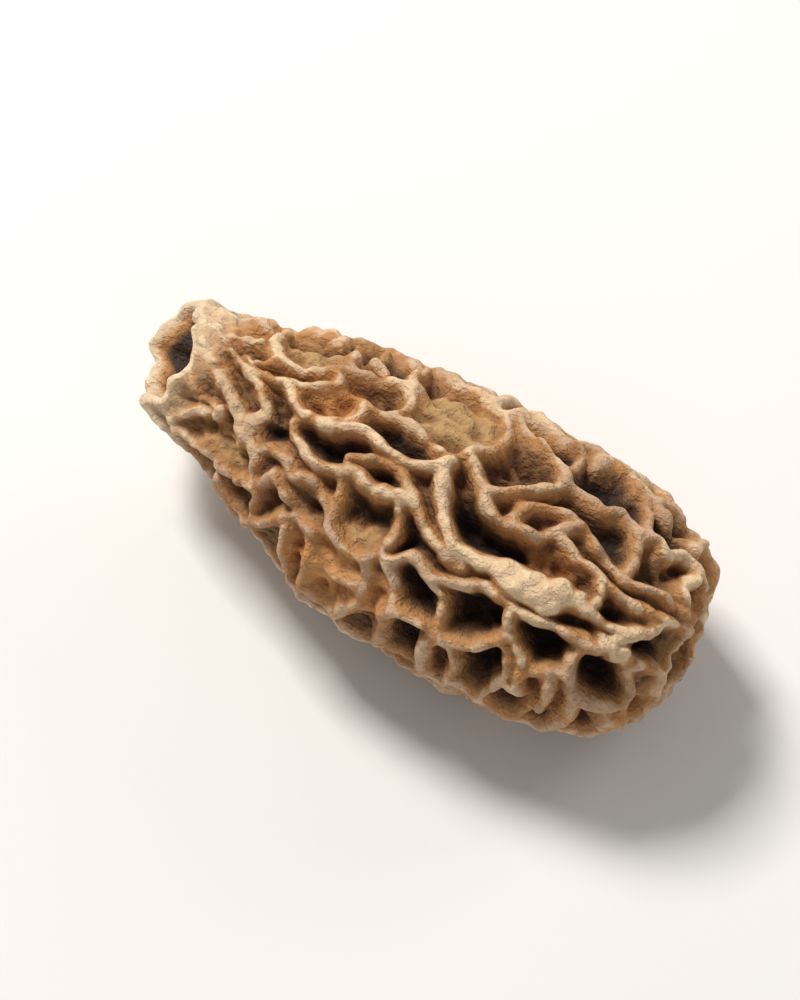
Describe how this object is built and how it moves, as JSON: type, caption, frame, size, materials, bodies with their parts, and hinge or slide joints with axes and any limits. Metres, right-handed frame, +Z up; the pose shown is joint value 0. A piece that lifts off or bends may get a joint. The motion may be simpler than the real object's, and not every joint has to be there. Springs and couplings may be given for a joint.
{
  "type": "morel mushroom",
  "caption": "Dried morel lying on its side, with a pitted and ridged honeycomb cap, a blunt knobbly tip and a hollow cut stem end.",
  "frame": {"origin": "centre of the bounding box seen from above, at the height of the surface it lies on", "axes": "+X runs along the cap from the cut stem end to the blunt tip, +Z is up from the surface it lies on, +Y completes a right-handed frame"},
  "size_m": [0.0462, 0.0212, 0.0175],
  "materials": {
    "dried_flesh": "matte, dry and leathery, cream on the ridges and dark brown in the pits"
  },
  "bodies": {
    "root": {"morel": "dried_flesh"}
  },
  "joints": []
}
